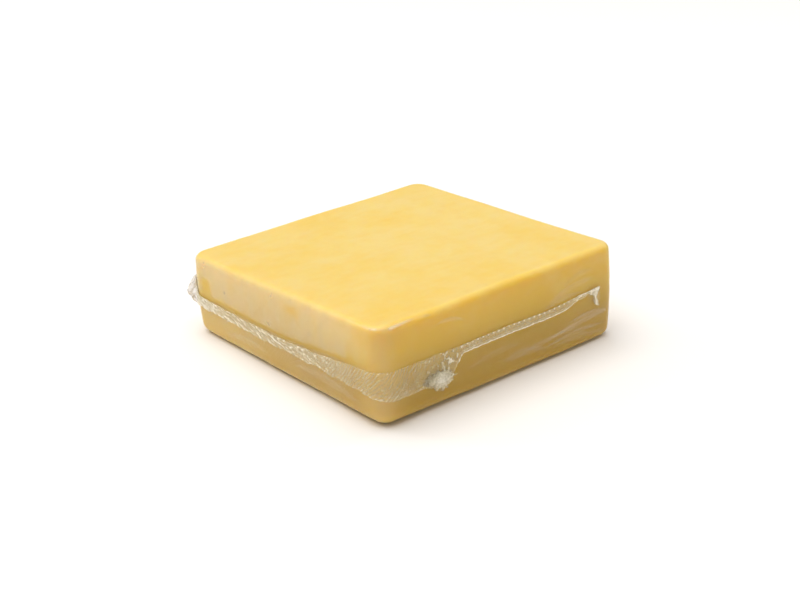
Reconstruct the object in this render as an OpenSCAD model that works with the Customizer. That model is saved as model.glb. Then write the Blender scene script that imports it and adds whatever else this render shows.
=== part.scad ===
// Block of cheddar, shrink-wrapped in clear film.
// The cheese stands on its flat base. It is thinner at the back left corner, as it came off
// the cutting wires. The film clings to it and is welded shut along three sides: the seam lies
// flat against the front, the left side and the back, gathers into pleats at the front left
// corner, stands out as an ear at the back left corner, hangs in a tuft on the front, and ends
// in a flared tail on the front and on the back. The right side has the film's fold.
// Millimetres, +Z up, front towards -Y, origin at the middle of the base.

/* [Cheese] */
// Length of the block from left to right
block_length = 110.6; // [90:0.2:140]
// Depth of the block from front to back
block_depth = 103.4; // [85:0.2:130]
// Height of the front left corner
height_front_left = 33.6; // [27:0.2:45]
// Height of the front right corner
height_front_right = 34.8; // [27:0.2:45]
// Height of the back right corner
height_back_right = 33.6; // [27:0.2:45]
// Height of the back left corner
height_back_left = 29.6; // [25:0.2:45]
// Radius of the four upright corners
corner_radius = 6.4; // [6.4:0.1:11]
// Radius of the edge round the top
top_edge_radius = 2.2; // [1:0.1:4]
// Radius of the softer edge round the base
base_edge_radius = 4; // [3:0.1:4.1]
// How much that radius grows towards the front left corner
base_corner_extra = 2.6; // [0:0.2:2.6]
// How much of that edge is pressed flat by the block's weight
base_sink = 0.3; // [0.1:0.1:0.6]
// How far the sides draw in from half height to the top and to the base
side_crown = 0.7; // [0:0.1:1.5]
// How far the block leans: its top is shifted from its base towards the back left corner
lean = 1.8; // [0:0.1:3]
// How far the sides wander in and out along the block
side_wander = 0.3; // [0:0.05:0.5]
// How far the middle of the top sinks
top_dip = 0.4; // [0:0.1:1.5]

/* [Film seam] */
// Room between the cheese and the seam, where the film's skin runs
film_gap = 0.2; // [0.15:0.05:0.5]
// Thickness of the seam where it lies flat
seam_thickness = 0.5; // [0.3:0.1:1]
// How high up the left side the seam's upper edge runs
seam_top_left = 14.8; // [12:0.2:17]
// Width of the seam from its upper to its lower edge on the left side
seam_width_left = 3.8; // [2:0.2:5]
// How high up the front and the back the seam's upper edge runs
seam_top_long = 19.6; // [15:0.2:24]
// Width of the seam on the front and the back
seam_width_long = 3; // [2:0.2:5]
// How far the gathered film at the front left corner reaches below the plain seam
gather_drop = 7.2; // [0:0.2:8]
// Length of the gathered film along the front
gather_length = 35; // [24:1:45]
// Depth of the pleats in the gathered film
pleat_depth = 0.6; // [0:0.1:1.5]
// Distance from one pleat to the next
pleat_pitch = 4; // [4:0.5:8]
// Distance of the tuft from the left side, along the front
tuft_distance = 25.5; // [20:0.5:34]
// How far the tuft hangs below the gathered film
tuft_drop = 3.4; // [0:0.2:5]
// Extra thickness of the tuft
tuft_thickness = 1.4; // [0:0.1:2.5]
// How far the ear stands out from the back left corner
ear_reach = 3; // [1:0.2:6]
// How far the ear rises above the seam
ear_rise = 5.5; // [2:0.5:8]
// Distance from the end of each tail to the right side
tail_distance = 10.5; // [8:0.5:20]
// Length of each tail
tail_length = 7.5; // [5:0.5:12]
// How far the seam rises towards each tail
tail_rise = 1.6; // [0:0.2:3]
// Width of each tail at its flared end
tail_width = 7; // [5:0.2:10]
// Width of the seam where it narrows before each tail
neck_width = 1.4; // [1:0.2:2]
// Length over which the seam narrows to that width
neck_length = 14; // [10:1:30]

/* [Hidden] */

side_steps = 12;  // steps along each straight side
corner_steps = 7; // steps round each upright corner
edge_steps = 5;   // steps round the top edge and round the base edge
wall_steps = 7;   // steps up the sides
cap_steps = 5;    // rings from the top edge to the middle of the top
seam_step = 1.25; // length of one step along the seam
seam_rows = 5;    // rows of points up each face of the seam

inner_x = block_length / 2 - corner_radius;
inner_y = block_depth / 2 - corner_radius;
front_run = 2 * inner_x;
side_run = 2 * inner_y;
arc_run = PI / 2 * corner_radius;
girth = 2 * front_run + 2 * side_run + 4 * arc_run;
mean_height =
    (height_front_left + height_front_right + height_back_right + height_back_left) / 4;

function blend(a, b, u) = a + (b - a) * u;
// Smooth step from 0 at a to 1 at b, and a bell of height 1 round c
function ease(t, a, b) = let (u = min(max((t - a) / (b - a), 0), 1)) u * u * (3 - 2 * u);
function bell(t, c, width) = exp(-pow((t - c) / width, 2));

// The plain outline is measured by the distance s along it, from 0 at the right end of the
// front, leftwards along the front and on round the left side, the back and the right side.
s_front_left = front_run;
s_left = s_front_left + arc_run;
s_back_left = s_left + side_run;
s_back = s_back_left + arc_run;
s_back_right = s_back + front_run;
s_right = s_back_right + arc_run;
s_front_right = s_right + side_run;

// A place on an upright corner: [x, y, outward x, outward y]
function on_corner(side_x, side_y, start, s) =
    let (a = start - 90 * s / arc_run)
    [side_x * inner_x + corner_radius * cos(a), side_y * inner_y + corner_radius * sin(a), cos(a), sin(a)];

// The place on the outline at distance s
function outline(s) =
    s < s_front_left ? [inner_x - s, -block_depth / 2, 0, -1] :
    s < s_left ? on_corner(-1, -1, 270, s - s_front_left) :
    s < s_back_left ? [-block_length / 2, s - s_left - inner_y, -1, 0] :
    s < s_back ? on_corner(-1, 1, 180, s - s_back_left) :
    s < s_back_right ? [s - s_back - inner_x, block_depth / 2, 0, 1] :
    s < s_right ? on_corner(1, 1, 90, s - s_back_right) :
    s < s_front_right ? [block_length / 2, inner_y - s + s_right, 1, 0] :
    on_corner(1, -1, 360, s - s_front_right);

// Height of the top: even between the four corners and sunk in the middle
function top_height(x, y) =
    let (u = x / block_length + 0.5, v = y / block_depth + 0.5)
    blend(blend(height_front_left, height_front_right, u),
          blend(height_back_left, height_back_right, u), v)
    - top_dip * (1 - pow(2 * u - 1, 2)) * (1 - pow(2 * v - 1, 2));

// Radius of the edge round the base at a place on the outline
function base_radius(p) =
    let (u = p[0] / block_length + 0.5, v = p[1] / block_depth + 0.5)
    base_edge_radius + base_corner_extra * pow((1 - u) * (1 - v), 4);

// How far the side stands out from the plain outline at distance s and height z: it draws in
// towards the top and the base and leans, with a slow wander whose waves close on themselves
function side_bulge(s, z) =
    let (p = outline(s), h = 2 * z / mean_height - 1)
    -side_crown * h * h
    + lean / 2 * h * (p[3] - p[2]) * sqrt(0.5)
    + side_wander * (0.6 * sin(360 * 5 * s / girth + 3 * z) + 0.4 * sin(360 * 9 * s / girth - 5 * z));

// The point at distance s and height z, moved outwards from the side's own surface
function side_point(s, z, out) =
    let (p = outline(s), d = side_bulge(s, z) + out)
    [p[0] + p[2] * d, p[1] + p[3] * d, z];

// Two triangles for each square of a grid of rings, where the points of a ring run on round
// it and the rings follow each other
function ring_faces(rings, count) = [
    for (i = [0 : rings - 2], j = [0 : count - 1])
    let (a = i * count + j, b = i * count + (j + 1) % count)
    each [[a, b, a + count], [b, b + count, a + count]]
];

module cheese() {
    straight = [for (i = [0 : side_steps - 1]) i / side_steps];
    bend = [for (i = [0 : corner_steps - 1]) i / corner_steps * arc_run];
    stops = concat(
        straight * front_run, [for (t = bend) s_front_left + t],
        [for (t = straight) s_left + t * side_run], [for (t = bend) s_back_left + t],
        [for (t = straight) s_back + t * front_run], [for (t = bend) s_back_right + t],
        [for (t = straight) s_right + t * side_run], [for (t = bend) s_front_right + t]);
    count = len(stops);
    base_rings = [
        for (i = [0 : edge_steps - 1]) let (a = 90 * i / edge_steps)
        [for (s = stops) let (r = base_radius(outline(s)))
            side_point(s, r * (1 - cos(a)) - base_sink, -r * (1 - sin(a)))]
    ];
    wall_rings = [
        for (i = [0 : wall_steps - 1])
        [for (s = stops) let (p = outline(s), foot = base_radius(p) - base_sink)
            side_point(s, blend(foot, top_height(p[0], p[1]) - top_edge_radius, i / wall_steps), 0)]
    ];
    top_rings = [
        for (i = [0 : edge_steps]) let (a = 90 * i / edge_steps)
        [for (s = stops) let (p = outline(s), top = top_height(p[0], p[1]))
            side_point(s, top - top_edge_radius * (1 - sin(a)), -top_edge_radius * (1 - cos(a)))]
    ];
    rim = top_rings[edge_steps];
    cap_rings = [
        for (i = [1 : cap_steps - 1]) let (k = 1 - i / cap_steps)
        [for (p = rim) [p[0] * k, p[1] * k, top_height(p[0] * k, p[1] * k)]]
    ];
    rings = concat(base_rings, wall_rings, top_rings, cap_rings);
    middle = len(rings) * count;
    points = concat([for (ring = rings) each ring], [[0, 0, top_height(0, 0)], [0, 0, -base_sink]]);
    top_fan = [for (j = [0 : count - 1]) [middle - count + j, middle - count + (j + 1) % count, middle]];
    base_fan = [for (j = [0 : count - 1]) [(j + 1) % count, j, middle + 1]];
    color("#f3cf80") intersection() {
        polyhedron(points, concat(ring_faces(len(rings), count), top_fan, base_fan));
        translate([-block_length, -block_depth, 0])
            cube([2 * block_length, 2 * block_depth, 2 * mean_height]);
    }
}

// The seam's course: it starts at the front's tail and ends at the back's
seam_start = tail_distance - corner_radius;
seam_end = s_back_right - seam_start;
tuft_at = block_length - corner_radius - tuft_distance;
gather_end = block_length - corner_radius - gather_length;
front_corner = s_front_left + arc_run / 2;
back_corner = s_back_left + arc_run / 2;

// Distance along the seam to its nearest end
function from_end(s) = min(s - seam_start, seam_end - s);

// Upper edge: lower on the left side than on the front and the back, raised at the ear
function seam_high(s) =
    blend(seam_top_left, seam_top_long,
        1 - ease(s, s_front_left, s_left + side_run / 2) + ease(s, back_corner, s_back + arc_run))
    + ear_rise * bell(s, back_corner, 3)
    + tail_rise * (1 - ease(from_end(s), 0, 4 * tail_length));

// Width of the seam on the front and the back, out to the narrow neck and the flared tail
function long_width(s) =
    let (t = from_end(s))
    neck_width + (seam_width_long - neck_width) * ease(t, tail_length, tail_length + neck_length)
    + (tail_width - neck_width) * (1 - ease(t, 0.1 * tail_length, tail_length));

// Lower edge, with the gathered film, the tuft and the ear
function seam_low(s) =
    let (gather = ease(s, gather_end, gather_end + 8) * (1 - ease(s, s_left, s_left + 12)),
         left = ease(s, s_front_left, s_left) * (1 - ease(s, back_corner, s_back + 2 * arc_run)))
    blend(seam_high(s) - long_width(s) - gather_drop * gather, seam_top_left - seam_width_left, left)
    - tuft_drop * bell(s, tuft_at, 4);

// Thickness of the seam a share v of the way up it: fullest along its middle, with pleats in
// the gathered film, and extra where the tuft hangs and where the ear stands out
function seam_thick(s, v) =
    let (gather = ease(s, gather_end - 6, gather_end + 6) * (1 - ease(s, s_left, s_left + 24)))
    seam_thickness * (0.6 + 0.4 * sin(180 * v))
    + pleat_depth * gather * (0.5 - 0.5 * cos(360 * s / pleat_pitch))
    + tuft_thickness * bell(s, tuft_at, 3.5) * (1 - v)
    + ear_reach * bell(s, back_corner, 2.5) * sin(180 * (0.15 + 0.7 * v));

module film_seam() {
    steps = ceil((seam_end - seam_start) / seam_step);
    rings = [
        for (i = [0 : steps])
        let (s = blend(seam_start, seam_end, i / steps), low = seam_low(s), high = seam_high(s),
             rows = [for (j = [0 : seam_rows - 1]) j / (seam_rows - 1)])
        concat(
            [for (v = rows) side_point(s, blend(low, high, v), film_gap)],
            [for (v = rows) side_point(s, blend(high, low, v), film_gap + seam_thick(s, 1 - v))])
    ];
    count = 2 * seam_rows;
    last = steps * count;
    start_cap = [
        for (j = [0 : seam_rows - 2])
        each [[j, count - 1 - j, j + 1], [j + 1, count - 1 - j, count - 2 - j]]
    ];
    end_cap = [for (f = start_cap) [last + f[0], last + f[2], last + f[1]]];
    points = [for (ring = rings) each ring];
    color("#f4f0e6") polyhedron(points, concat(ring_faces(steps + 1, count), start_cap, end_cap));
}

cheese();
film_seam();
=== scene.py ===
# %% [markdown]
# # A block of cheddar in shrink film
#
# A squat block of pale yellow cheddar, cut by wires and wrapped in clear shrink film. The film
# is welded shut along three sides, where its seam has crumpled into a whitish crimped band. The
# lesson builds it from the inside out: the cheese, the film's clear skin that clings to it, and
# the seam with its pleats, tuft, ear and tails.
#
# Every shape here is a surface worked out with numpy. The CAD frame comes first, and its box is
# kept.

# %% Load the frame
import math

import bpy
import numpy as np
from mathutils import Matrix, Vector


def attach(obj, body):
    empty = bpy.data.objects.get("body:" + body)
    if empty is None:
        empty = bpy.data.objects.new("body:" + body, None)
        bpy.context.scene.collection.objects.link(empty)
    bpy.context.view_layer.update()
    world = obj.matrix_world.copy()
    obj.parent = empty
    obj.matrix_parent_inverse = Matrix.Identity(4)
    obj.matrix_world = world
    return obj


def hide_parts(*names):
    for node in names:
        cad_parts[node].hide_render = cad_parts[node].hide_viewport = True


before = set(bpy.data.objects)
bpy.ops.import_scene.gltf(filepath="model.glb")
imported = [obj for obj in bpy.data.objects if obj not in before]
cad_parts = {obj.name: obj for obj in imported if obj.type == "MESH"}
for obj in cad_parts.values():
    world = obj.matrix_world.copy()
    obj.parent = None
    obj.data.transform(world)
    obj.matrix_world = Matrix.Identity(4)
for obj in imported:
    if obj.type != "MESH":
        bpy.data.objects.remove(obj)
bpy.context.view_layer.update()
MM = 0.001

# %% [markdown]
# ## The camera
#
# The block is seen from a little above, with one upright corner almost in front. A lens of
# about 53 mm stands 0.41 m away, so the far corners look clearly smaller than the near one. It
# could be placed by eye, but the distance matters as much as the direction: it is set from the
# two angles, the point it looks at, and the distance.

# %% Camera
CAMERA_AZIMUTH, CAMERA_ELEVATION = math.radians(-41.61), math.radians(22.95)
CAMERA_DISTANCE = 411.8 * MM
LOOK_AT = Vector((-7.46, -6.72, 16.41)) * MM

towards_camera = Vector((
    math.sin(CAMERA_AZIMUTH) * math.cos(CAMERA_ELEVATION),
    -math.cos(CAMERA_AZIMUTH) * math.cos(CAMERA_ELEVATION),
    math.sin(CAMERA_ELEVATION),
))
camera = bpy.data.objects.new("camera", bpy.data.cameras.new("camera"))
bpy.context.scene.collection.objects.link(camera)
camera.location = LOOK_AT + towards_camera * CAMERA_DISTANCE
camera.rotation_euler = towards_camera.to_track_quat("Z", "Y").to_euler()
camera.data.lens, camera.data.sensor_width = 53.36, 36
camera.data.clip_start = 0.01
bpy.context.scene.camera = camera
print("camera at", [round(c / MM) for c in camera.location], "mm")

# %% [markdown]
# ## The block's measures
#
# All lengths are in millimetres until a mesh is made. They repeat the frame's own: a block of
# 110.6 by 103.4 mm whose four corners differ in height, because the wires that cut it were not
# quite parallel. The sides lean a little and draw in towards the top and the base.

# %% Measures of the cheese
BLOCK_LENGTH, BLOCK_DEPTH = 110.6, 103.4
HEIGHT_FRONT_LEFT, HEIGHT_FRONT_RIGHT = 33.6, 34.8
HEIGHT_BACK_LEFT, HEIGHT_BACK_RIGHT = 29.6, 33.6
CORNER_RADIUS, TOP_EDGE_RADIUS = 6.4, 2.2
BASE_EDGE_RADIUS, BASE_CORNER_EXTRA, BASE_SINK = 4.0, 2.6, 0.3
SIDE_CROWN, LEAN, SIDE_WANDER, TOP_DIP = 0.7, 1.8, 0.3, 0.4

INNER_X, INNER_Y = BLOCK_LENGTH / 2 - CORNER_RADIUS, BLOCK_DEPTH / 2 - CORNER_RADIUS
FRONT_RUN, SIDE_RUN = 2 * INNER_X, 2 * INNER_Y
ARC_RUN = math.pi / 2 * CORNER_RADIUS
GIRTH = 2 * FRONT_RUN + 2 * SIDE_RUN + 4 * ARC_RUN
MEAN_HEIGHT = (HEIGHT_FRONT_LEFT + HEIGHT_FRONT_RIGHT + HEIGHT_BACK_LEFT + HEIGHT_BACK_RIGHT) / 4
print(f"girth {GIRTH:.1f} mm, mean height {MEAN_HEIGHT:.1f} mm")

# %% [markdown]
# ## The outline and the sides
#
# Everything on the sides, from the cheese's own waves to the seam's pleats, is placed by two
# numbers: the distance s along the block's outline and the height z. The distance starts at
# the right end of the front, runs left along it, and goes on round the left side, the back and
# the right side. A rounded rectangle is then one idea: the centre of a corner circle slides
# along each straight run while its direction holds, and stays while its direction turns.

# %% Smooth steps and bells
def blend(a, b, u):
    """Straight mix: a where u is 0 and b where u is 1."""
    return a + (b - a) * u


def ease(t, a, b):
    """Smooth step: 0 up to a, 1 from b on, and 3u^2 - 2u^3 between them."""
    u = np.clip((t - a) / (b - a), 0, 1)
    return u * u * (3 - 2 * u)


def bell(t, centre, width):
    """Gaussian bell of height 1: e to the minus square of the distance in widths."""
    return np.exp(-(((t - centre) / width) ** 2))


print(f"a quarter of the way the smooth step is at {ease(0.25, 0, 1):.2f}")

# %% Places along the outline
# The stops are the ends of the straight runs, as distances s
STOPS = np.cumsum(
    [0, FRONT_RUN, ARC_RUN, SIDE_RUN, ARC_RUN, FRONT_RUN, ARC_RUN, SIDE_RUN, ARC_RUN])
S_FRONT_LEFT, S_LEFT, S_BACK_LEFT, S_BACK, S_BACK_RIGHT, S_RIGHT = STOPS[1:7]
FRONT_CORNER, BACK_CORNER = S_FRONT_LEFT + ARC_RUN / 2, S_BACK_LEFT + ARC_RUN / 2


def outline(s):
    """Place and outward direction at distance s: a corner circle's centre and its direction,
    each a straight line between the stops."""
    centre_x = np.interp(s, STOPS, INNER_X * np.array([1, -1, -1, -1, -1, 1, 1, 1, 1]))
    centre_y = np.interp(s, STOPS, INNER_Y * np.array([-1, -1, -1, 1, 1, 1, 1, -1, -1]))
    angle = np.radians(np.interp(s, STOPS, [270, 270, 180, 180, 90, 90, 0, 0, -90]))
    out_x, out_y = np.cos(angle), np.sin(angle)
    return centre_x + CORNER_RADIUS * out_x, centre_y + CORNER_RADIUS * out_y, out_x, out_y


print(f"left side from s = {S_LEFT:.1f}, back from {S_BACK:.1f}, right side from {S_RIGHT:.1f} mm")


# %% Height of the top and radius of the base's edge
def top_height(x, y):
    """Height of the top: an even blend of the four corners' heights, sunk in the middle."""
    u, v = x / BLOCK_LENGTH + 0.5, y / BLOCK_DEPTH + 0.5
    front = blend(HEIGHT_FRONT_LEFT, HEIGHT_FRONT_RIGHT, u)
    back = blend(HEIGHT_BACK_LEFT, HEIGHT_BACK_RIGHT, u)
    return blend(front, back, v) - TOP_DIP * (1 - (2 * u - 1) ** 2) * (1 - (2 * v - 1) ** 2)


def base_radius(x, y):
    """Radius of the edge round the base, which grows towards the front left corner."""
    u, v = x / BLOCK_LENGTH + 0.5, y / BLOCK_DEPTH + 0.5
    return BASE_EDGE_RADIUS + BASE_CORNER_EXTRA * ((1 - u) * (1 - v)) ** 4


print(f"height in the middle of the top: {top_height(0, 0):.1f} mm")


# %% The sides
def side_bulge(s, z):
    """How far a side stands out from the outline: minus a parabola for its crown, plus a
    straight lean towards the back left at the top, plus two slow waves that close on
    themselves round the block."""
    _, _, out_x, out_y = outline(s)
    h = 2 * z / MEAN_HEIGHT - 1
    round_block = 2 * math.pi * s / GIRTH
    waves = (0.6 * np.sin(5 * round_block + np.radians(3 * z))
             + 0.4 * np.sin(9 * round_block - np.radians(5 * z)))
    lean = LEAN / 2 * h * (out_y - out_x) * math.sqrt(0.5)
    return -SIDE_CROWN * h * h + lean + SIDE_WANDER * waves


def side_point(s, z, out):
    """The point of the side at s and z, moved outwards by out."""
    x, y, out_x, out_y = outline(s)
    reach = side_bulge(s, z) + out
    return np.stack([x + out_x * reach, y + out_y * reach, z + 0 * x], axis=-1)


bulges = side_bulge(STOPS[:-1], MEAN_HEIGHT)
print(f"at the top the sides stand out by {bulges.min():.1f} to {bulges.max():.1f} mm")

# %% [markdown]
# ## Unevenness
#
# Nothing here is as smooth as its formula. Two kinds of noise roughen it: plain smooth noise
# for the cheese, and a ridged one for the film, whose folds meet in sharp lines with slack
# hollows between them, as crushed film does. A Displace modifier with one of Blender's own
# textures could do it too, but noise in numpy can steer a mesh and its attributes alike.

# %% Noise
LATTICE = 64


def smooth_noise(u, v, seed):
    """Noise from -1 to 1: random heights on a square lattice of pitch 1, which repeats every
    64, blended between the four nearest by the smooth step."""
    heights = np.random.default_rng(seed).uniform(-1, 1, (LATTICE, LATTICE))
    column, row = np.floor(u).astype(int), np.floor(v).astype(int)
    across, along = ease(u - column, 0, 1), ease(v - row, 0, 1)

    def at(i, j):
        return heights[(column + i) % LATTICE, (row + j) % LATTICE]

    return blend(blend(at(0, 0), at(1, 0), across), blend(at(0, 1), at(1, 1), across), along)


def crushed(u, v, seed, octaves=3):
    """Ridged noise from 0 to 1: one minus the size of smooth noise, summed over octaves that
    each have twice the pitch's fineness and half the height."""
    total = sum(
        (1 - np.abs(smooth_noise(u * 2**k, v * 2**k, seed + k))) ** 2 / 2**k for k in range(octaves)
    )
    return total / sum(1 / 2**k for k in range(octaves))


print(f"crushed noise at one place: {crushed(np.float64(0.5), np.float64(0.5), 1):.2f}")

# %% [markdown]
# ## From rings to a mesh
#
# Every piece of this block is a stack of closed rings: rings round the block for the cheese
# and the film's skin, and rings round the seam's own section for the seam. One function joins
# them with four-sided faces and closes both ends with a fan, so each piece is a closed solid.
# Its volume says whether the faces point outwards. Numbers that belong to a place, such as how
# cloudy the film is there, go into the mesh as attributes for the materials to read.

# %% Ring mesh
def ring_mesh(name, rings, **attributes):
    """A closed mesh through rings[ring, place, xyz], in millimetres. Each ring's places are
    joined round, ring i to ring i + 1, and each end to the middle of its last ring."""
    count, around = rings.shape[:2]
    ends = np.stack([rings[0].mean(axis=0), rings[-1].mean(axis=0)])
    points = np.concatenate([rings.reshape(-1, 3), ends]) * MM
    here = np.arange(count * around).reshape(count, around)
    beside = np.roll(here, -1, axis=1)
    quads = np.stack([here[:-1], beside[:-1], beside[1:], here[1:]], axis=-1).reshape(-1, 4)
    first, last = count * around, count * around + 1
    fans = np.concatenate([
        np.stack([beside[0], here[0], np.full(around, first)], axis=-1),
        np.stack([here[-1], beside[-1], np.full(around, last)], axis=-1),
    ])
    corners = points[fans]
    volume = np.einsum("ij,ij->", corners[:, 0], np.cross(corners[:, 1], corners[:, 2]))
    for triangle in ((0, 1, 2), (0, 2, 3)):
        corners = points[quads[:, triangle]]
        volume += np.einsum("ij,ij->", corners[:, 0], np.cross(corners[:, 1], corners[:, 2]))
    if volume < 0:
        quads, fans = quads[:, ::-1], fans[:, ::-1]

    mesh = bpy.data.meshes.new(name)
    mesh.vertices.add(len(points))
    mesh.vertices.foreach_set("co", points.ravel())
    loops = np.concatenate([quads.ravel(), fans.ravel()])
    starts = np.concatenate([
        np.arange(len(quads)) * 4, len(quads) * 4 + np.arange(len(fans)) * 3
    ])
    mesh.loops.add(len(loops))
    mesh.loops.foreach_set("vertex_index", loops)
    mesh.polygons.add(len(starts))
    mesh.polygons.foreach_set("loop_start", starts)
    mesh.update(calc_edges=True)
    mesh.polygons.foreach_set("use_smooth", np.ones(len(starts), dtype=bool))
    for label, values in attributes.items():
        values = np.broadcast_to(values, (count, around))
        values = np.concatenate([values.ravel(), [values[0].mean(), values[-1].mean()]])
        mesh.attributes.new(label, "FLOAT", "POINT").data.foreach_set("value", values)
    mesh.validate()
    piece = bpy.data.objects.new(name, mesh)
    bpy.context.scene.collection.objects.link(piece)
    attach(piece, "root")
    triangles = 2 * len(quads) + len(fans)
    print(f"{name}: {triangles} triangles, {abs(volume) / 6 / MM**3 / 1000:.2f} cm3")
    return piece


# %% [markdown]
# ## The block's skin
#
# The cheese and the film both follow the same skin, so it is worked out once, as rings that
# start at the middle of the base, turn up round its soft edge, climb the sides, turn over the
# top edge and close in on the middle of the top. A box with a bevel would be quicker, but its
# four heights, its lean and the base edge that swells at one corner would all be lost.

# %% Rings of the skin
def skin_rings(columns, base_rows, edge_rows, wall_rows, top_rows):
    """Points [row, column, xyz] of the skin with each point's distance s: quarter circles for
    both edges, straight walls between them, and rims that shrink to the middle."""
    s = np.arange(columns) / columns * GIRTH
    x, y, _, _ = outline(s)
    foot, top = base_radius(x, y), top_height(x, y)
    turn = np.linspace(0, math.pi / 2, edge_rows, endpoint=False)[:, None]
    climb = np.linspace(0, 1, wall_rows, endpoint=False)[:, None]
    over = np.linspace(0, math.pi / 2, edge_rows)[:, None]
    z = np.concatenate([
        np.maximum(foot * (1 - np.cos(turn)) - BASE_SINK, 0),
        blend(foot - BASE_SINK, top - TOP_EDGE_RADIUS, climb),
        top - TOP_EDGE_RADIUS * (1 - np.sin(over)),
    ])
    out = np.concatenate([
        -foot * (1 - np.sin(turn)),
        0 * climb * foot,
        -TOP_EDGE_RADIUS * (1 - np.cos(over)) + 0 * foot,
    ])
    walls = side_point(np.broadcast_to(s, z.shape), z, out)
    grow = np.linspace(0.02, 1, base_rows, endpoint=False)[:, None, None]
    base = walls[0] * grow
    shrink = np.linspace(1, 0.01, top_rows + 1)[1:, None, None]
    lid = walls[-1] * shrink
    lid[..., 2] = top_height(lid[..., 0], lid[..., 1])
    rings = np.concatenate([base, walls, lid])
    return rings, np.broadcast_to(s, rings.shape[:2])


def outward(rings):
    """Unit vectors square to a stack of rings: the cross product of the step round the ring
    and the step to the next one."""
    round_ring = np.roll(rings, -1, axis=1) - np.roll(rings, 1, axis=1)
    up_stack = np.gradient(rings, axis=0)
    normal = np.cross(up_stack, round_ring)
    normal /= np.linalg.norm(normal, axis=-1, keepdims=True) + 1e-12
    return normal


# The cross product may point in or out, so a coarse skin tells the sign half-way up its walls
WALL_ROW = 9
probe, _ = skin_rings(columns=60, base_rows=3, edge_rows=4, wall_rows=8, top_rows=5)
middle = outward(probe)[WALL_ROW]
SIDE_SIGN = np.sign(np.mean(np.sum(middle[:, :2] * probe[WALL_ROW, :, :2], axis=1)))
print("skin's normals point", "out" if SIDE_SIGN > 0 else "in, so they are turned")

# %% [markdown]
# ## The cheese
#
# Cheddar is close and waxy. The wires leave its faces nearly flat, with long shallow waves and
# small dimples. Its mesh lies a little inside the film's skin. One attribute says how wet each
# place looks: where the film touches the cheese, fat and whey fill the gap and the yellow is
# deep, and where air is left under the film it is pale. Another is painted shade: it darkens the
# colour towards the foot of the sides, less so round the back left corner, and a little down the
# front left one. A painted texture could hold both, but attributes follow the same formulas as
# the film does, so cheese and film agree.

# %% Wet and dry places
SEAM_TOP_LEFT, SEAM_TOP_LONG = 14.8, 19.6


def left_side(s):
    """1 on the left side, easing to 0 round its two corners."""
    return ease(s, S_FRONT_LEFT + 1, S_LEFT) * (1 - ease(s, S_BACK_LEFT + 2, S_BACK - 1))


def seam_line(s):
    """Height of the seam's upper edge over the whole outline, for what gathers beside it."""
    return blend(
        SEAM_TOP_LEFT, SEAM_TOP_LONG,
        1 - ease(s, S_FRONT_LEFT, S_LEFT + SIDE_RUN / 2) + ease(s, BACK_CORNER, S_BACK + ARC_RUN),
    )


def contact(s, z):
    """How closely the film touches the side, from about 0 to 1. On the left side air is trapped
    above the seam, except in a strip just over it, at the ear and in a few small patches. The
    film is a little slack down the front left corner too, which pales the cheese and clouds the
    film there, partly as a painted highlight."""
    y = s - S_LEFT - INNER_Y
    ragged = smooth_noise(s / 5, z / 6, 11) + 0.5 * smooth_noise(s / 2, z / 2, 12)
    strip = bell(z, seam_line(s) + 1.1, 1.0 + 0.4 * ragged)
    ear_patch = 1.3 * bell(y, 41.5 + 0.8 * ragged, 2.8) * ease(z, 11, 14) * (1 - ease(z, 21, 24))
    small_patch = bell(y, -8, 3) * bell(z, 26.5, 2) + bell(y, -38, 2) * bell(z, 21, 1.8)
    below = 0.62 * (1 - ease(z, seam_line(s) - 5, seam_line(s) - 3))
    trapped = np.clip(strip + ear_patch + 0.7 * small_patch + below, 0, 1)
    # slack pales the front left corner: partly slack film, partly painted highlight
    slack = bell(s, FRONT_CORNER, 5.5) * (0.35 + 0.15 * (1 - ease(z, 9, 13)))
    return blend(1, trapped, left_side(s) * ease(s, S_FRONT_LEFT + 3, S_LEFT + 21)) - slack


print(f"film's contact half-way along the left side: {contact(S_LEFT + INNER_Y, 24.0):.2f}, "
      f"half-way along the front: {contact(FRONT_RUN / 2, 24.0):.2f}")

# %% Build the cheese
FILM_LIFT, DIMPLE_LIMIT = 0.15, 0.08
rings, ring_s = skin_rings(columns=400, base_rows=8, edge_rows=8, wall_rows=36, top_rows=44)
normal = outward(rings) * SIDE_SIGN
x, y, z = np.moveaxis(rings, -1, 0)
dimples = (0.06 * smooth_noise(x / 7 + 9, (y + z) / 7 + 9, 21)
           + 0.03 * smooth_noise(x / 2.3, (y + z) / 2.3, 22))
cheese_rings = rings + normal * (-FILM_LIFT + np.minimum(dimples, DIMPLE_LIMIT))[..., None]
on_side = np.clip(np.hypot(normal[..., 0], normal[..., 1]), 0, 1) ** 2
# foot is painted shade: darker towards the base of the sides, less at the back left corner
foot = on_side * (1 - ease(z, 10, 30)) * (1 - 0.65 * bell(ring_s, S_BACK_LEFT, 44))
at_corner = bell(ring_s, FRONT_CORNER, 7)
foot = np.maximum(foot * (1 - 0.45 * at_corner), 0.22 * on_side * at_corner)
cheese = ring_mesh(
    "cheddar_block", cheese_rings, wet=blend(0.35, contact(ring_s, z), on_side), foot=foot)
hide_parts("cheese")

# %% [markdown]
# ## The film's skin
#
# The film is far too thin to show its own thickness, but it shows by what it does to light: it
# shines at its edges and creases, and turns cloudy where air lies under it. It is the same
# skin as the cheese, 0.15 mm further out, with low folds: stretched lens-shaped folds on the
# sides, two hard creases along the top left edge, a short one over the front left corner, and
# fine gathers that run off the seam. The short crease over the corner is milky almost wholly as
# painted highlight, and the folds' milk is partly painted highlight. The skin's rings stand
# closest at the two edges, where the creases are.

# %% Folds of the film
def front_s(x):
    """Distance s of the place x on the front: from the right end of its straight run."""
    return INNER_X - x


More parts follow.
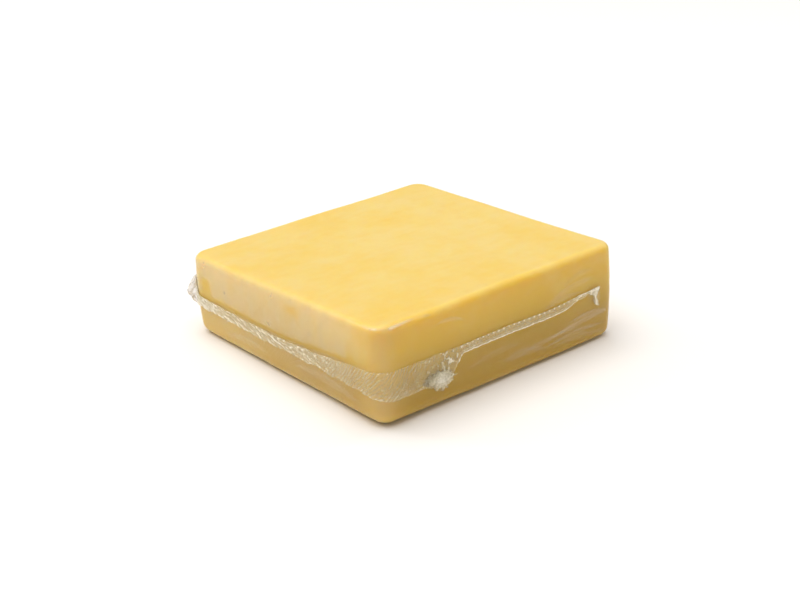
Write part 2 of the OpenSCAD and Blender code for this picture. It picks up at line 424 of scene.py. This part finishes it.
# Each fold: distance s of its middle, height z, length, width, tilt in degrees, strength
FOLDS = [
    (front_s(-26), 29.2, 11, 0.35, 9, 0.6),
    (front_s(26), 21.8, 17, 0.5, -4, 0.5),
    (front_s(31), 24.6, 20, 0.6, -7, 0.4),
    (front_s(34), 28.0, 13, 0.5, -10, 0.3),
    (front_s(35), 10.6, 30, 0.5, -4, 0.8),
    (front_s(33), 7.4, 26, 0.45, -1, 0.7),
    (front_s(36), 5.2, 24, 0.5, 4, 0.45),
    (front_s(40), 12.6, 18, 0.4, 2, 0.8),
    (front_s(20), 8.8, 30, 0.5, -4, 0.45),
    (front_s(8), 7.6, 18, 0.8, 3, 0.5),
    (front_s(-6), 11.6, 22, 0.6, -3, 0.3),
    (S_LEFT + 20, 8.0, 30, 0.8, 2, 0.4),
    (S_LEFT + 64, 6.8, 22, 0.7, -3, 0.4),
    (S_BACK + 50, 9.5, 40, 0.8, 3, 0.8),
    (S_BACK + 44, 6.5, 26, 0.5, 1, 0.7),
    (S_BACK + 70, 26, 30, 0.8, -5, 0.6),
    (S_RIGHT + 25, 22, 38, 0.9, 6, 0.7),
    (S_RIGHT + 60, 12, 44, 0.8, -4, 0.7),
    (S_RIGHT + 64, 9, 30, 0.5, -2, 0.7),
    (S_RIGHT + 75, 19, 20, 0.6, -9, 0.6),
]


def folds(s, z):
    """Height from 0 to 1 of the lens-shaped folds: each a pair of bells across its own slightly
    curved line, close together at its ends, that fade out there."""
    total = np.zeros(np.broadcast(s, z).shape)
    for middle_s, middle_z, length, width, tilt, strength in FOLDS:
        along = (s - middle_s) / (length / 2)
        line = middle_z + np.tan(np.radians(tilt)) * (s - middle_s) - 0.8 * along**2
        apart = 2.2 * width * (1 - along**2)
        pair = bell(z, line + apart / 2, width) + 0.7 * bell(z, line - apart / 2, 0.8 * width)
        total += strength * pair * np.exp(-(along**4))
    return np.clip(total, 0, 1.2)


print(len(FOLDS), "folds on the sides")


# %% Creases and gathers of the film
GATHER_PITCH = 1.7


def creases(s, z, top, on_side):
    """Two hard creases just under the top edge on the left side, strongest at the back, and a
    short one on the edge itself beside the front left corner, a broken line of painted highlight."""
    fade = left_side(s) * blend(0.3, 0.9, ease(s, S_LEFT + 30, S_BACK_LEFT))
    wobble = 0.25 * smooth_noise(s / 9, 0 * s, 31)
    broken = (0.6 + 0.5 * smooth_noise(s / 2.4, 0 * s, 33)) * ease(on_side, 0.05, 0.3)
    # corner: a broken line of painted highlight on the top edge beside the front left corner
    corner = bell(top - z, 0.8 + 1.5 * wobble, 0.35) * bell(s, S_FRONT_LEFT - 1, 12) * broken
    pair = bell(top - z, 1.7 + wobble, 0.45) + 0.7 * bell(top - z, 3.1 + wobble, 0.45)
    return 0.4 * fade * pair + 4.5 * corner


def gathers(s, z):
    """Fine upright folds that run off the seam and fade within a few millimetres: one minus
    the size of a sine, leaned and jittered by noise, under a bell round the seam."""
    phase = (s + 0.8 * z) / GATHER_PITCH + 1.2 * smooth_noise(s / 7, z / 9, 32)
    reach = bell(z, seam_line(s) - 5.5, 3.4)
    return reach * (1 - np.abs(np.sin(math.pi * phase))) ** 2


print(f"about {SIDE_RUN / GATHER_PITCH:.0f} gathers on the left side")

# %% Build the skin
FOLD_LIFT, CREASE_LIFT, GATHER_LIFT = 0.22, 0.02, 0.12
rings, ring_s = skin_rings(columns=600, base_rows=4, edge_rows=15, wall_rows=98, top_rows=24)
normal = outward(rings) * SIDE_SIGN
x, y, z = np.moveaxis(rings, -1, 0)
on_side = np.clip(np.hypot(normal[..., 0], normal[..., 1]), 0, 1) ** 2
seamed = 1 - ease(ring_s, S_BACK_RIGHT, S_BACK_RIGHT + 4) * (1 - ease(ring_s, GIRTH - 4, GIRTH))
fold_height = folds(ring_s, z) * on_side
crease_height = creases(ring_s, z, top_height(x, y), on_side)
gather_height = gathers(ring_s, z) * on_side * seamed * blend(0.35, 1, left_side(ring_s))
lift = FOLD_LIFT * fold_height + CREASE_LIFT * crease_height + GATHER_LIFT * gather_height
cloud = np.clip((1 - contact(ring_s, z)) * on_side, 0, 1)
# The corner crease's milk is painted highlight, and the folds' milk is partly so
crease = np.clip(0.55 * fold_height + 0.3 * crease_height + 0.3 * gather_height, 0, 1)
skin = ring_mesh("film_skin", rings + normal * lift[..., None], cloud=cloud, crease=crease)

# %% [markdown]
# ## The seam
#
# The wrapper was closed by a hot bar that welded and cut it along three sides, and then shrunk
# in hot air, which pulled the weld flat against the block and crumpled it. Cloth simulation
# could crumple a strip, but not in a few seconds and not the same way twice, so the crumples
# are formulas too: a band carried along the outline, whose upper and lower edges and thickness
# depend on the distance s.

# %% Course of the seam
FILM_GAP, SEAM_THICKNESS = 0.2, 0.5
SEAM_WIDTH_LEFT, SEAM_WIDTH_LONG = 3.8, 3.0
GATHER_DROP, GATHER_LENGTH = 7.2, 35
TUFT_DISTANCE, TUFT_DROP = 25.5, 3.4
EAR_REACH, EAR_RISE = 3.0, 5.5
TAIL_DISTANCE, TAIL_LENGTH, TAIL_RISE, TAIL_WIDTH = 10.5, 7.5, 1.6, 7.0
NECK_WIDTH, NECK_LENGTH = 1.4, 14

SEAM_START = TAIL_DISTANCE - CORNER_RADIUS
SEAM_END = S_BACK_RIGHT - SEAM_START
TUFT_AT = BLOCK_LENGTH - CORNER_RADIUS - TUFT_DISTANCE
GATHER_END = BLOCK_LENGTH - CORNER_RADIUS - GATHER_LENGTH
print(f"seam from s = {SEAM_START:.1f} to {SEAM_END:.1f} mm, with its tuft at {TUFT_AT:.1f} mm")


def from_end(s):
    """Distance along the seam to its nearest end."""
    return np.minimum(s - SEAM_START, SEAM_END - s)


def seam_high(s):
    """Upper edge: the line beside the seam, raised at the ear and towards both tails."""
    return (seam_line(s) + EAR_RISE * bell(s, BACK_CORNER, 3)
            + TAIL_RISE * (1 - ease(from_end(s), 0, 4 * TAIL_LENGTH)))


def seam_low(s):
    """Lower edge: a plain width on each side, dropped by the gathers and the tuft, drawn in at
    the neck and flared at the tail."""
    t = from_end(s)
    past_neck = ease(t, TAIL_LENGTH, TAIL_LENGTH + NECK_LENGTH)
    flare = 1 - ease(t, 0.1 * TAIL_LENGTH, TAIL_LENGTH)
    long_width = (NECK_WIDTH + (SEAM_WIDTH_LONG - NECK_WIDTH) * past_neck
                  + (TAIL_WIDTH - NECK_WIDTH) * flare)
    gather = ease(s, GATHER_END, GATHER_END + 8) * (1 - ease(s, S_LEFT, S_LEFT + 12))
    left = ease(s, S_FRONT_LEFT, S_LEFT) * (1 - ease(s, BACK_CORNER, S_BACK + 2 * ARC_RUN))
    long_edge = seam_high(s) - long_width - GATHER_DROP * gather
    left_edge = SEAM_TOP_LEFT - SEAM_WIDTH_LEFT
    return blend(long_edge, left_edge, left) - TUFT_DROP * bell(s, TUFT_AT, 4)


# %% [markdown]
# ## The seam's crumples
#
# The weld looks different along its way: fanned pleats round the front left corner, crushed
# rope on the left side, a thin beaded line on the long sides, and two prongs at each tail. Each
# kind of crumple is a short formula, and one sum says how much film is bunched at a place. That
# raises the seam there and also makes it milky, through the attribute named milk. Bump in the
# material alone would be quicker, but would look flat from the side.

# %% Kinds of crumple
PLEAT_PITCH, BEAD_PITCH = 1.4, 2.4


def gathered(s):
    """1 in the gathered film round the front left corner, easing to 0 outside it."""
    return ease(s, GATHER_END - 2, GATHER_END + 6) * (1 - ease(s, S_LEFT + 4, S_LEFT + 34))


def strokes(along, across, seed, keep=0.5):
    """Thin bright strokes from 0 to 1: ridged noise drawn out along their own direction, with
    only its upper part kept, so that they stand apart."""
    return ease(crushed(along, across, seed, octaves=2), keep, 0.95)


def pleats(s, z):
    """Sharp slanting pleats: one minus the size of a sine of the leaned distance, jittered and
    broken up by strokes."""
    lean = s + 0.9 * (z - 14) - 0.03 * (z - 14) ** 2 + 1.1 * smooth_noise(s / 2.6, z / 7, 41)
    lines = ease(1 - np.abs(np.sin(math.pi * lean / PLEAT_PITCH)), 0.25, 0.95)
    patchy = 0.55 + 0.45 * smooth_noise(s / 2.5, z / 4, 42)
    strength = 0.25 + 0.65 * ease(s, TUFT_AT + 3, TUFT_AT + 12)
    return lines * patchy * strength + 0.25 * strokes(lean / 1.2, z / 3, 43)


def specks(s, z):
    """Small bright facets: the tops of a fine noise."""
    return ease(smooth_noise(s / 0.9, z / 0.9, 44), 0.3, 0.6)


def beads(s, v):
    """Row of small weld marks along the upper edge: a bell in the middle of every pitch."""
    return bell(np.mod(s, BEAD_PITCH), BEAD_PITCH / 2, 0.42) * bell(v, 0.92, 0.09)


print(f"about {(S_LEFT + 34 - GATHER_END) / PLEAT_PITCH:.0f} pleats, a bead every {BEAD_PITCH} mm")


# %% Sum of the crumples
def crumples(s, v, z):
    """How much film is bunched at a place, from 0 to about 1: pleats where it is gathered, with
    hems along their lower edge, facets near the tuft, slanting strokes along the left side,
    prongs at the tails, and on the plain runs a hard fold along the lower edge and the beads
    along the upper one."""
    gather, t = gathered(s), from_end(s)
    rope = left_side(s) * (1 - gather)
    tail = 1 - ease(t, TAIL_LENGTH, TAIL_LENGTH + 12)
    plain = (1 - gather) * (1 - left_side(s)) * (1 - tail)
    near_tuft = np.maximum(bell(s, TUFT_AT - 5, 8), 0.6 * bell(s, TUFT_AT + 6, 6))
    bright = bell(s, TUFT_AT - 4, 7)
    two_hems = bell(v, 0.06, 0.04) + bell(v, 0.17 + 0.03 * np.sin(s / 2), 0.035)
    hems = two_hems * bell(s, FRONT_CORNER, 13)
    rims = bell(v, 0.9, 0.12) + 0.8 * bell(v, 0.58, 0.1) + 0.8 * bell(t, 1.6, 1.3)

    in_gather = 0.06 + pleats(s, z) * (1 - 0.6 * near_tuft) + 0.3 * hems
    at_tuft = (0.12 + (0.25 + 0.7 * bright) * specks(s, z)
               + 0.45 * strokes(s / 2.2, z / 1.2, 45))
    in_rope = 0.3 + strokes((s + 0.24 * z) / 3.2, (z - 0.24 * s) / 0.6, 51, keep=0.42)
    at_tail = 0.3 + 0.7 * rims + 0.7 * strokes(s / 2.4, (z + 0.2 * s) / 1.1, 57)
    on_plain = (0.2 + bell(v, 0.08, 0.08) + 0.35 * bell(v, 0.32, 0.05) + 0.9 * beads(s, v)
                + 0.2 * strokes(s / 6, z / 0.9, 59))
    return (gather * in_gather + near_tuft * at_tuft + rope * in_rope + tail * at_tail
            + plain * on_plain)


def holes(s, v):
    """1 where the film of a tail is left clear: a shallow notch in its end, which makes two
    prongs, and an arch between the lower prong and the neck."""
    t = from_end(s)
    notch = 1 - ease(np.abs(2 * v - 1), 0.8 - t / 2, 1.0 - t / 2)
    arch = ((1 - ease(v, 0.4, 0.52)) * ease(t, 2.4, 3.4)
            * (1 - ease(t, TAIL_LENGTH - 1.5, TAIL_LENGTH + 0.5)))
    return np.maximum(notch, arch)


# %% Build the seam
def section(steps):
    """Shares v up the seam and which face, once round its section: up the inner face and
    down the outer one, with both faces meeting in a rounded edge."""
    turn = np.arange(steps) / steps * 2 * math.pi
    return 0.5 - 0.5 * np.cos(turn), np.clip(-3 * np.sin(turn), 0, 1) ** 0.5


SEAM_SECTIONS, SECTION_STEPS, SEAM_RELIEF = 1700, 54, 0.24
v, face = section(SECTION_STEPS)
s = np.linspace(SEAM_START, SEAM_END, SEAM_SECTIONS)[:, None]
loose = 0.4 + 0.8 * left_side(s) + 1.5 * bell(s, TUFT_AT, 7) + (1 - ease(from_end(s), 6, 14))
ragged_low = (0.3 * smooth_noise(s / 2.2, 0 * s, 71)
              + 0.25 * smooth_noise(s / 0.9, 0 * s, 72)) * loose
ragged_high = 0.2 * smooth_noise(s / 3, 0 * s, 73) * loose
z = blend(seam_low(s) + ragged_low, seam_high(s) + ragged_high, v)
bunched = crumples(s, v, z)
out = FILM_GAP - 0.1 + face * (0.5 * SEAM_THICKNESS + SEAM_RELIEF * bunched)
haze = 0.13 - 0.11 * gathered(s) + 0.3 * bell(s, S_BACK_LEFT - 4, 9)
milk = face * np.clip(haze + 0.75 * bunched, 0, 1) * (1 - holes(s, v))
seam = ring_mesh("film_seam_band", side_point(np.broadcast_to(s, z.shape), z, out), milk=milk)
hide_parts("film_seam")

# %% [markdown]
# ## The tuft
#
# On the front the gathered film ends in a small stiff tuft, where the layers were caught
# together and turned white. It could be sculpted, which would give finer crumples, but a shape
# worked out from a few numbers can be moved and turned with the seam. It is a low dome whose
# rim is buried in the seam, with ragged points along its lower edge and sharp folds that fan
# out from its right end, the thicker one.

# %% Build the tuft
SPIKES = [(4.15, 0.25), (4.45, 0.45), (4.8, 0.35), (2.9, 0.3)]  # direction in radians, length


def dome(centre_s, centre_z, length, height, rise, tilt, fold_count, seed, rows=44, around=260):
    """A crumpled dome on the side: ellipse rings from its crown to its rim, raised by the
    square root of one minus the squared share, with folds that fan out from one end."""
    share = np.linspace(0.02, 1, rows)[:, None]
    turn = (np.arange(around) / around * 2 * math.pi)[None, :]
    spikes = sum(size * bell(turn, at, 0.07) for at, size in SPIKES)
    ragged = 1 + (0.14 * smooth_noise(turn * 32 / math.pi, 0 * turn, seed) + spikes) * share**2
    along = share * np.cos(turn) * ragged * length / 2
    across = share * np.sin(turn) * ragged * height / 2
    angle = np.radians(tilt)
    s = centre_s + along * np.cos(angle) - across * np.sin(angle)
    z = centre_z + along * np.sin(angle) + across * np.cos(angle)
    fan = np.arctan2(across, along + 0.62 * length)
    jitter = 1.5 * smooth_noise(along / 2, across / 2, seed + 1)
    lines = (1 - np.abs(np.sin(fan * fold_count + jitter))) ** 1.4
    body = np.sqrt(np.clip(1 - share**2, 0, 1))
    thick_end = ease(-along, -0.45 * length, 0.05 * length)
    rough = blend(0.45, 0.2, thick_end)
    lift = FILM_GAP + 0.05 + body * rise * (
        0.6 + rough * crushed(along / 2.4, across / 1.8, seed + 2) + rough * lines)
    thin_white = 0.3 + 0.35 * lines + 0.35 * strokes(along / 2, across / 0.8, seed + 3)
    thick_white = 0.85 + 0.15 * lines
    return side_point(s, z, lift), body * blend(thin_white, thick_white, thick_end)


rings, whiteness = dome(
    centre_s=TUFT_AT + 1.4, centre_z=10.6, length=12.5, height=6.4, rise=0.95, tilt=10,
    fold_count=9, seed=81)
tuft = ring_mesh("film_tuft", rings, milk=np.clip(whiteness, 0, 1))

# %% [markdown]
# ## The ear
#
# At the back left corner the film had nothing to shrink onto, and a little ear of it stands
# out, crushed flat in the upright plane. A flat sheet with a Solidify modifier could stand for
# it, but its edge would be square and even. It is a thin leaf instead: rings round its level
# section, stacked from its lower end to its upper one.

# %% Build the ear
EAR_LOW, EAR_HIGH = 9.6, 21.5


def ear_rings(rows=90, around=72):
    """A crumpled upright leaf on the back left corner: level sections, each a flat ellipse
    from the corner outwards, whose reach rises and falls over its height."""
    up = np.linspace(0, 1, rows)[:, None]
    turn = (np.arange(around) / around * 2 * math.pi)[None, :]
    z = blend(EAR_LOW, EAR_HIGH, up) + 0 * turn
    reach = (EAR_REACH + 0.3) * np.sin(math.pi * np.clip(up**0.85, 0, 1)) ** 0.7 + 0.4
    wing = 0.5 - 0.5 * np.cos(turn)
    thick = blend(1.7, 0.45, wing) * np.sin(math.pi * blend(0.06, 0.94, up)) ** 0.5
    fold = 0.7 * wing * smooth_noise(z / 3.1, 0 * wing + 0.3, 91)
    lobes = 0.3 * smooth_noise(z / 2.2, 0 * wing + 0.5, 93) + 0.15 * smooth_noise(z / 0.8, wing, 94)
    outer = wing * reach * (1 + lobes) - 0.3
    crumple = 0.35 * crushed(z / 2.0, wing * 1.4, 92)
    sideways = np.sin(turn) * (thick + crumple) + fold
    x, y, out_x, out_y = outline(np.array([BACK_CORNER]))
    away = side_bulge(BACK_CORNER, z) + outer
    leaf = np.stack([
        x + out_x * away - out_y * sideways,
        y + out_y * away + out_x * sideways,
        z,
    ], axis=-1)
    return leaf, 0.25 + 0.75 * strokes((z + 3 * wing) / 1.3, wing * 2.5, 95, keep=0.3)


rings, whiteness = ear_rings()
ear = ring_mesh("film_ear", rings, milk=np.clip(whiteness, 0, 1))

# %% [markdown]
# ## Shader sums
#
# The finishes below are sums of masks, so it helps to write them as sums. One small class
# wraps a socket of a shader node: adding, taking away, multiplying and powers make the Math
# nodes, and every other node comes from its one method, which sets the node up before it is
# linked.

# %% Shader helper
class Socket:
    """A socket of a material's node tree that can be used in sums."""

    def __init__(self, tree, socket=None):
        self.tree, self.socket = tree, socket

    def node(self, kind, settings=None, links=None, output=0):
        """Makes a node, sets its settings, links or sets its inputs, and returns an output."""
        made = self.tree.nodes.new(kind)
        for label, value in (settings or {}).items():
            setattr(made, label, value)
        for label, value in (links or {}).items():
            if isinstance(value, Socket):
                self.tree.links.new(value.socket, made.inputs[label])
            else:
                made.inputs[label].default_value = value
        return Socket(self.tree, made.outputs[output]) if len(made.outputs) else made

    def math(self, operation, first, second=0.0, clamp=False):
        """One Math node between two values or sockets."""
        settings = {"operation": operation, "use_clamp": clamp}
        return self.node("ShaderNodeMath", settings, {0: first, 1: second})

    def __add__(self, other):
        return self.math("ADD", self, other)

    def __sub__(self, other):
        return self.math("SUBTRACT", self, other)

    def __rsub__(self, other):
        return self.math("SUBTRACT", other, self)

    def __mul__(self, other):
        return self.math("MULTIPLY", self, other)

    def __pow__(self, other):
        return self.math("POWER", self, other)

    __radd__, __rmul__ = __add__, __mul__

    def within(self):
        """The value held between 0 and 1."""
        return self.math("ADD", self, 0.0, clamp=True)


# %% Helpers for materials
def new_material(name):
    """An empty material and its tree, ready for sums."""
    material = bpy.data.materials.new(name)
    material.use_nodes = True
    material.node_tree.nodes.clear()
    return material, Socket(material.node_tree)


def attribute(tree, name):
    """The number that the mesh carries under this name."""
    return tree.node("ShaderNodeAttribute", {"attribute_name": name}, output=2)


def noise(tree, size, detail=2.0, stretch=(1, 1, 1), roughness=0.5):
    """Noise with blobs of about the given size in metres, on the object's own coordinates. A
    stretch under 1 draws the blobs out along that axis, and one over 1 squeezes them."""
    place = tree.node("ShaderNodeTexCoord", output=3)
    mapped = tree.node("ShaderNodeMapping", links={"Vector": place, "Scale": stretch})
    return tree.node(
        "ShaderNodeTexNoise",
        links={"Vector": mapped, "Scale": 1 / size, "Detail": detail, "Roughness": roughness},
    )


def mix_colour(tree, factor, first, second):
    """Straight mix of two colours: the first where the factor is 0, the second where it is 1."""
    return tree.node(
        "ShaderNodeMix", {"data_type": "RGBA"}, {0: factor, 6: first, 7: second}, output=2)


def finish_with(tree, shader):
    """Links the shader to the material's output."""
    tree.node("ShaderNodeOutputMaterial", links={"Surface": shader})


# %% [markdown]
# ## The cheese's finish
#
# Cheddar lets light in: it glows at its edges and its shadows fill with deep yellow. A plain
# diffuse colour would look like painted wood, so random walk scattering is used, deepest for
# red and least for blue. The colour drifts a little in soft clouds, faint curds and the drag
# marks of the wire, and deepens where the film wets it. Towards the foot of the sides it is
# darkened with painted shade.

# %% Cheddar
cheddar, tree = new_material("cheddar")
# The third colour is painted shade for the foot of the sides
PALE, DEEP, FOOT_SHADE = (0.81, 0.60, 0.19, 1), (0.81, 0.53, 0.075, 1), (0.53, 0.328, 0.043, 1)
curds = noise(tree, 0.006, detail=3, stretch=(1, 1, 1.4))
clouds = noise(tree, 0.022)
drag = noise(tree, 0.0035, detail=3, stretch=(0.3, 1, 1), roughness=0.6)
wet = attribute(tree, "wet")
drift = (clouds - 0.5) * 1.4 + (curds - 0.5) * 0.9 + (drag - 0.5) * 0.7
colour = mix_colour(tree, (wet * 0.9 + drift).within(), PALE, DEEP)
# Painted shade: the foot attribute darkens the colour towards the base of the sides
colour = mix_colour(tree, attribute(tree, "foot"), colour, FOOT_SHADE)
bump = tree.node("ShaderNodeBump", links={
    "Strength": 0.12, "Distance": 0.0006, "Height": curds + noise(tree, 0.0012) * 0.4})
body = tree.node("ShaderNodeBsdfPrincipled", {"subsurface_method": "RANDOM_WALK"}, {
    "Base Color": colour, "Roughness": 0.5, "Subsurface Weight": 1.0,
    "Subsurface Radius": (1.0, 0.72, 0.25), "Subsurface Scale": 0.0055,
    "Specular IOR Level": 0.2, "Normal": bump,
})
finish_with(tree, body)
cheese.data.materials.append(cheddar)
print(f"cheddar: {len(cheddar.node_tree.nodes)} nodes")

# %% [markdown]
# ## The film's finish
#
# Clear film is two shaders mixed: nothing at all, and a gloss that grows at a glancing angle.
# A Fresnel node would be the usual way to that angle, but these films are closed shells, and on
# their inner faces it reflects everything and turns them grey, so the Facing output of a Layer
# Weight node is raised to the fifth power instead. Where air lies under the film, or where it
# is bunched, a milky share is mixed in: warm where the film is thin and near white where it is
# thick. On the skin this milk is also painted highlight, in part along the folds and almost
# wholly on the short crease over the front left corner. The ear, which has no cheese behind it,
# is a duller milk. Glass would bend the light on its way to the cheese and darken it; a sheet
# this thin doesn't.

# %% Film shader
GLANCE_POWER, GLANCE_SHARE = 5, 0.5


def film_material(name, cloudiness, shine, gloss_roughness, bump_node, thin, bunched):
    """Clear film: milky by cloudiness, from the thin colour to the bunched one, and the rest
    clear with a gloss by the angle of view."""
    material, tree = new_material(name)
    cloudy, bumped = cloudiness(tree), bump_node(tree)
    clear = tree.node("ShaderNodeBsdfTransparent")
    gloss = tree.node("ShaderNodeBsdfGlossy", links={
        "Color": (0.9, 0.9, 0.9, 1), "Roughness": gloss_roughness, "Normal": bumped})
    facing = tree.node("ShaderNodeLayerWeight", links={"Blend": 0.5, "Normal": bumped}, output=1)
    glance = facing**GLANCE_POWER * GLANCE_SHARE + shine
    sheet = tree.node("ShaderNodeMixShader", links={0: glance, 1: clear, 2: gloss})
    milk = tree.node("ShaderNodeBsdfPrincipled", links={
        "Base Color": mix_colour(tree, cloudy, thin, bunched), "Roughness": 0.4,
        "Specular IOR Level": 0.3, "Normal": bumped})
    finish_with(tree, tree.node("ShaderNodeMixShader", links={0: cloudy, 1: sheet, 2: milk}))
    print(f"{name}: {len(material.node_tree.nodes)} nodes")
    return material


# %% Cloudiness and bumps of the film
def skin_cloudiness(tree):
    """Trapped air in upright streaks, plus the share of folds and creases, partly painted
    highlight, and a trace everywhere.
    """
    streaks = noise(tree, 0.008, detail=3, stretch=(1.2, 1.2, 0.6), roughness=0.6)
    return (attribute(tree, "cloud") * (0.22 + (streaks - 0.5) * 0.35)
            + attribute(tree, "crease") * 0.5 + 0.01).within()


def skin_bump(tree):
    """Long level waves with finer ones on them."""
    height = (noise(tree, 0.014, detail=3, stretch=(1, 1, 2.5))
              + noise(tree, 0.003, stretch=(1, 1, 1.5)) * 0.25)
    return tree.node("ShaderNodeBump", links={
        "Strength": 0.25, "Distance": 0.0008, "Height": height})


def seam_cloudiness(tree):
    """The bunched film's milk, broken up by small flecks."""
    flecks = noise(tree, 0.0011, detail=3, roughness=0.7)
    return (attribute(tree, "milk") * (0.9 + (flecks - 0.5) * 1.2)).within()


def seam_bump(tree):
    """Crumples finer than the mesh."""
    height = noise(tree, 0.0009, detail=4, roughness=0.7)
    return tree.node("ShaderNodeBump", links={
        "Strength": 0.35, "Distance": 0.0006, "Height": height})


# %% Finishes of the film's pieces
# The skin's bunched colour also colours its painted highlights
SKIN_THIN, SKIN_BUNCHED_AND_HIGHLIGHT = (0.96, 0.85, 0.67, 1), (1.0, 0.92, 0.66, 1)
SEAM_THIN, SEAM_BUNCHED = (1.0, 0.84, 0.42, 1), (1.0, 0.95, 0.82, 1)
EAR_THIN, EAR_BUNCHED = (0.64, 0.54, 0.4, 1), (0.72, 0.63, 0.5, 1)
tight = film_material(
    "film_tight", skin_cloudiness, shine=0.015, gloss_roughness=0.2, bump_node=skin_bump,
    thin=SKIN_THIN, bunched=SKIN_BUNCHED_AND_HIGHLIGHT)
crimped = film_material(
    "film_crimped", seam_cloudiness, shine=0.02, gloss_roughness=0.14, bump_node=seam_bump,
    thin=SEAM_THIN, bunched=SEAM_BUNCHED)
dull = film_material(
    "film_ear", seam_cloudiness, shine=0.03, gloss_roughness=0.2, bump_node=seam_bump,
    thin=EAR_THIN, bunched=EAR_BUNCHED)
for piece, material in ((skin, tight), (seam, crimped), (tuft, crimped), (ear, dull)):
    piece.data.materials.append(material)

# %% [markdown]
# ## Floor and light
#
# The block lies on a plain white surface. A large soft light hangs almost overhead, a little to
# the left and behind, and a weaker one stands behind the block. Two small lights low at the
# sides give the film its glints. A bright world alone would be simpler, but it would light all
# sides alike. Here it is a dim even white, so the sides are lit mostly by what the white floor
# sends back, which makes them a deeper yellow than the top.

# %% Floor
FLOOR_SIZE = 6.0
floor_mesh = bpy.data.meshes.new("floor")
half = FLOOR_SIZE / 2
floor_mesh.from_pydata(
    [(-half, -half, 0), (half, -half, 0), (half, half, 0), (-half, half, 0)], [], [(0, 1, 2, 3)])
floor = bpy.data.objects.new("floor", floor_mesh)
bpy.context.scene.collection.objects.link(floor)
paper, tree = new_material("white_surface")
finish_with(tree, tree.node("ShaderNodeBsdfPrincipled", links={
    "Base Color": (0.92, 0.89, 0.86, 1), "Roughness": 0.9, "Specular IOR Level": 0.1}))
floor_mesh.materials.append(paper)
print(f"floor: {FLOOR_SIZE:.0f} m square")


# %% Lights
def soft_light(name, azimuth, elevation, distance, size, power):
    """A square soft light that faces the block from the given direction: angles in degrees,
    lengths in metres, power in watts."""
    light = bpy.data.lights.new(name, "AREA")
    light.size, light.energy = size, power
    holder = bpy.data.objects.new(name, light)
    a, e = math.radians(azimuth), math.radians(elevation)
    back = Vector((math.sin(a) * math.cos(e), -math.cos(a) * math.cos(e), math.sin(e)))
    holder.location = back * distance
    holder.rotation_euler = back.to_track_quat("Z", "Y").to_euler()
    bpy.context.scene.collection.objects.link(holder)
    print(f"{name}: {power} W, {distance} m away")


soft_light("top_light", azimuth=-110, elevation=76, distance=2.4, size=2.6, power=54)
soft_light("back_light", azimuth=170, elevation=66, distance=2.4, size=2.2, power=12)
soft_light("left_glint", azimuth=-145, elevation=34, distance=1.5, size=0.25, power=2)
soft_light("right_glint", azimuth=80, elevation=35, distance=1.5, size=0.25, power=2.5)

# %% World
world = bpy.data.worlds.new("studio")
world.use_nodes = True
sky = world.node_tree.nodes["Background"]
sky.inputs["Color"].default_value = (1, 0.99, 0.97, 1)
sky.inputs["Strength"].default_value = 0.32
bpy.context.scene.world = world
bpy.context.scene.view_settings.view_transform = "Standard"
print(f"world strength {sky.inputs['Strength'].default_value:.2f}")
